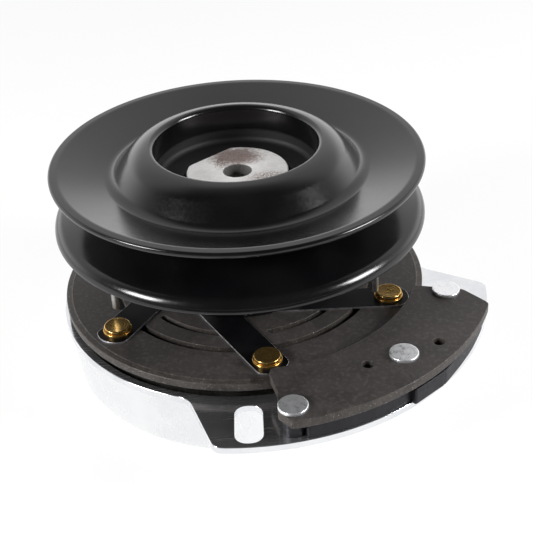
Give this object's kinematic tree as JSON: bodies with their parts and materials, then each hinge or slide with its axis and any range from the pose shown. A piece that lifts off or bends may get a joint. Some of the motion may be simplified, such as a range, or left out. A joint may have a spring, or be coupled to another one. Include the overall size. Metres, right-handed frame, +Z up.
{
  "type": "electromagnetic clutch",
  "caption": "Electromagnetic clutch-brake with a V-belt pulley, leaf-strap armature, coil field shell, brake plate and slotted mounting arm.",
  "frame": {"origin": "centre of the shaft bore at its lower end, level with the underside of the field shell", "axes": "+Z up the shaft axis towards the pulley; -Y towards the mounting arm's slot"},
  "size_m": [0.1892, 0.191, 0.1048],
  "materials": {
    "black_coat": "semi-gloss",
    "zinc_plate": "polished",
    "zinc_shell": "satin",
    "bare_steel": "matte",
    "spring_steel": "satin",
    "brass": "satin",
    "rivet_alloy": "satin",
    "washer_steel": "matte",
    "machined_steel": "satin",
    "bearing_steel": "polished",
    "red_seal": "satin",
    "black_plastic": "matte",
    "block_black": "satin",
    "bobbin_plastic": "matte",
    "copper_wire": "satin",
    "wrap_tape": "matte",
    "friction_lining": "matte",
    "magnet": "matte"
  },
  "bodies": {
    "field": {"field_shell": "zinc_shell", "field_inner_pole": "machined_steel", "coil_bobbin": "bobbin_plastic", "coil_winding": "copper_wire", "coil_wrap": "wrap_tape", "mounting_plate": "zinc_plate", "brake_plate": "bare_steel", "brake_magnet_block": "block_black", "brake_magnets": "magnet", "brake_posts": "block_black", "brake_rivets": "rivet_alloy", "connector_housing": "black_plastic", "connector_terminals": "brass", "field_bearing_outer_ring": "bearing_steel", "field_bearing_seals": "red_seal"},
    "rotor": {"rotor_hub": "machined_steel", "rotor_disc": "black_coat", "rotor_friction_ring": "friction_lining", "bearing_spacer": "machined_steel", "end_washer": "washer_steel", "hub_retaining_ring": "spring_steel", "field_bearing_inner_ring": "bearing_steel", "pulley_bearing_inner_ring": "bearing_steel"},
    "pulley": {"pulley_upper_half": "black_coat", "pulley_lower_half": "black_coat", "pulley_hub": "black_coat", "pulley_retaining_ring": "spring_steel", "spring_carrier": "black_coat", "leaf_straps": "spring_steel", "carrier_rivets": "rivet_alloy", "pulley_bearing_outer_ring": "bearing_steel", "pulley_bearing_seals": "red_seal", "stop_studs": "rivet_alloy"},
    "armature": {"armature_disc": "bare_steel", "armature_rivets": "brass"},
    "field_ball_set": {"field_bearing_balls": "bearing_steel", "field_bearing_cage": "machined_steel"},
    "pulley_ball_set": {"pulley_bearing_balls": "bearing_steel", "pulley_bearing_cage": "machined_steel"}
  },
  "joints": [
    {"name": "rotor_spin", "type": "hinge", "parent": "field", "child": "rotor", "pos_m": [0, 0, 0.01], "axis": [0, 0, 1], "continuous": true},
    {"name": "pulley_spin", "type": "hinge", "parent": "rotor", "child": "pulley", "pos_m": [0, 0, 0.0753], "axis": [0, 0, 1], "continuous": true},
    {"name": "armature_pull_in", "type": "slide", "parent": "pulley", "child": "armature", "axis": [0, 0, -1], "range_m": [0, 0.0005], "stiffness_N_per_m": 60000, "deforming": ["leaf_straps"]},
    {"name": "field_ball_orbit", "type": "hinge", "parent": "field", "child": "field_ball_set", "pos_m": [0, 0, 0.01], "axis": [0, 0, 1], "continuous": true},
    {"name": "pulley_ball_orbit", "type": "hinge", "parent": "rotor", "child": "pulley_ball_set", "pos_m": [0, 0, 0.0753], "axis": [0, 0, 1], "continuous": true}
  ],
  "couplings": [
    {"joint": "field_ball_orbit", "follows": "rotor_spin", "ratio": 0.4103},
    {"joint": "pulley_ball_orbit", "follows": "pulley_spin", "ratio": 0.5897}
  ]
}
